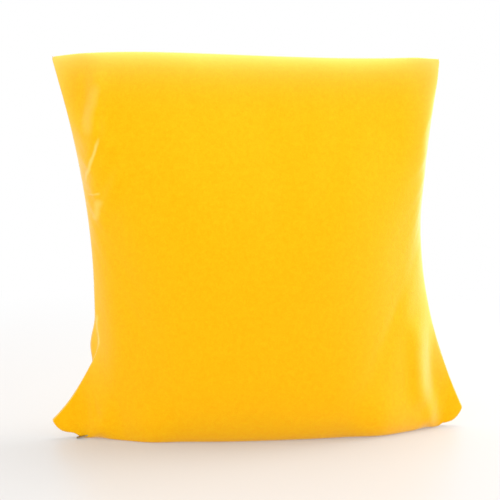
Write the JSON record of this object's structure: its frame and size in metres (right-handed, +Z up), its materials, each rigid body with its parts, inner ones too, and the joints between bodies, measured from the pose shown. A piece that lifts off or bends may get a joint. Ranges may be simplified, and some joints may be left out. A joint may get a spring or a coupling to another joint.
{
  "type": "throw pillow",
  "caption": "Square knife-edge throw pillow with a zipped cover over a fibre-filled inner pad, standing on its bottom edge.",
  "frame": {"origin": "on the floor under the middle of the pillow, in the plane of the seam between its panels", "axes": "+Z up; the front panel faces -Y; +X is to the right seen from the front"},
  "size_m": [0.448, 0.14, 0.4064],
  "materials": {
    "cover_fabric": "brushed",
    "cover_thread": "matte",
    "zip_tape": "woven",
    "zip_coil": "satin",
    "zip_metal": "satin",
    "casing_fabric": "matte",
    "casing_thread": "matte",
    "filling": "fluffy"
  },
  "bodies": {
    "cover": {"cover_front": "cover_fabric", "cover_back": "cover_fabric", "cover_seam_stitches": "cover_thread", "zip_tape_front": "zip_tape", "zip_tape_back": "zip_tape", "zip_coil_front": "zip_coil", "zip_coil_back": "zip_coil", "zip_top_stop_front": "zip_metal", "zip_top_stop_back": "zip_metal", "zip_bottom_stop": "zip_metal", "zip_stitches_front": "cover_thread", "zip_stitches_back": "cover_thread", "casing_front": "casing_fabric", "casing_back": "casing_fabric", "casing_seam_stitches": "casing_thread", "fibre_filling": "filling"},
    "slider": {"zip_slider": "zip_metal"},
    "pull": {"zip_pull": "zip_metal"}
  },
  "joints": [
    {"name": "slider_slide", "type": "slide", "parent": "cover", "child": "slider", "axis": [1, 0, 0], "range_m": [0, 0.332], "deforming": ["zip_coil_front", "zip_coil_back"]},
    {"name": "pull_swing", "type": "hinge", "parent": "slider", "child": "pull", "pos_m": [-0.168, 0, 0.00715], "axis": [0.2588, -0.9659, 0], "range_deg": [0, 154]}
  ]
}
